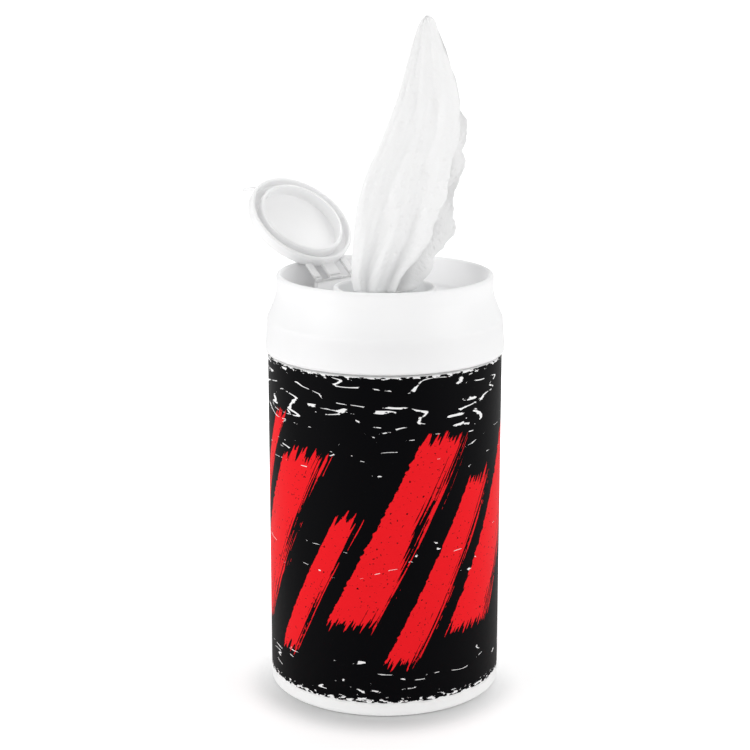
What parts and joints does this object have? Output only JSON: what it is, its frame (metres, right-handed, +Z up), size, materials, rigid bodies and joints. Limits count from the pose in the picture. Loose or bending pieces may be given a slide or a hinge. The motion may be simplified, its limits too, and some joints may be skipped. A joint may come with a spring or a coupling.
{
  "type": "wipes dispenser",
  "caption": "Round countertop canister of wipes with a press-on cap, a flip lid on a film hinge and a slit nozzle that the next wipe stands up through.",
  "frame": {"origin": "on the can's axis, at the plane of its foot ring", "axes": "+Z up the can's axis; -Y towards the viewer of the picture, +X to that viewer's right"},
  "size_m": [0.0764, 0.0789, 0.191],
  "materials": {
    "can_plastic": "blow-moulded white polyethylene, satin",
    "label_film": "black printed film with red bars, satin varnish",
    "cap_plastic": "injection-moulded white polypropylene",
    "nozzle_elastomer": "soft translucent white elastomer",
    "seal_foam": "fine closed-cell polyethylene foam",
    "nonwoven": "moist spunlace nonwoven with fine dimples"
  },
  "bodies": {
    "can": {"can_body": "can_plastic", "label_wrap": "label_film", "wipe_roll": "nonwoven"},
    "seal": {"sealing_ring": "seal_foam"},
    "cap": {"cap_shell": "cap_plastic", "nozzle": "nozzle_elastomer", "hinge_film": "cap_plastic"},
    "lid": {"flip_lid": "cap_plastic"},
    "wipe": {"lead_wipe": "nonwoven", "wipe_tail": "nonwoven"}
  },
  "joints": [
    {"name": "cap_lift", "type": "slide", "parent": "can", "child": "seal", "axis": [0, 0, 1], "range_m": [0, 0.04]},
    {"name": "cap_turn", "type": "hinge", "parent": "seal", "child": "cap", "pos_m": [0, 0, 0.1064], "axis": [0, 0, 1], "continuous": true},
    {"name": "lid_hinge", "type": "hinge", "parent": "cap", "child": "lid", "pos_m": [-0.01425, 0.01529, 0.116], "axis": [0.7314, 0.682, 0], "range_deg": [0, 139], "deforming": ["lead_wipe"]},
    {"name": "wipe_pull", "type": "slide", "parent": "cap", "child": "wipe", "axis": [0, 0, 1], "range_m": [0, 0.06], "deforming": ["wipe_tail"]}
  ]
}
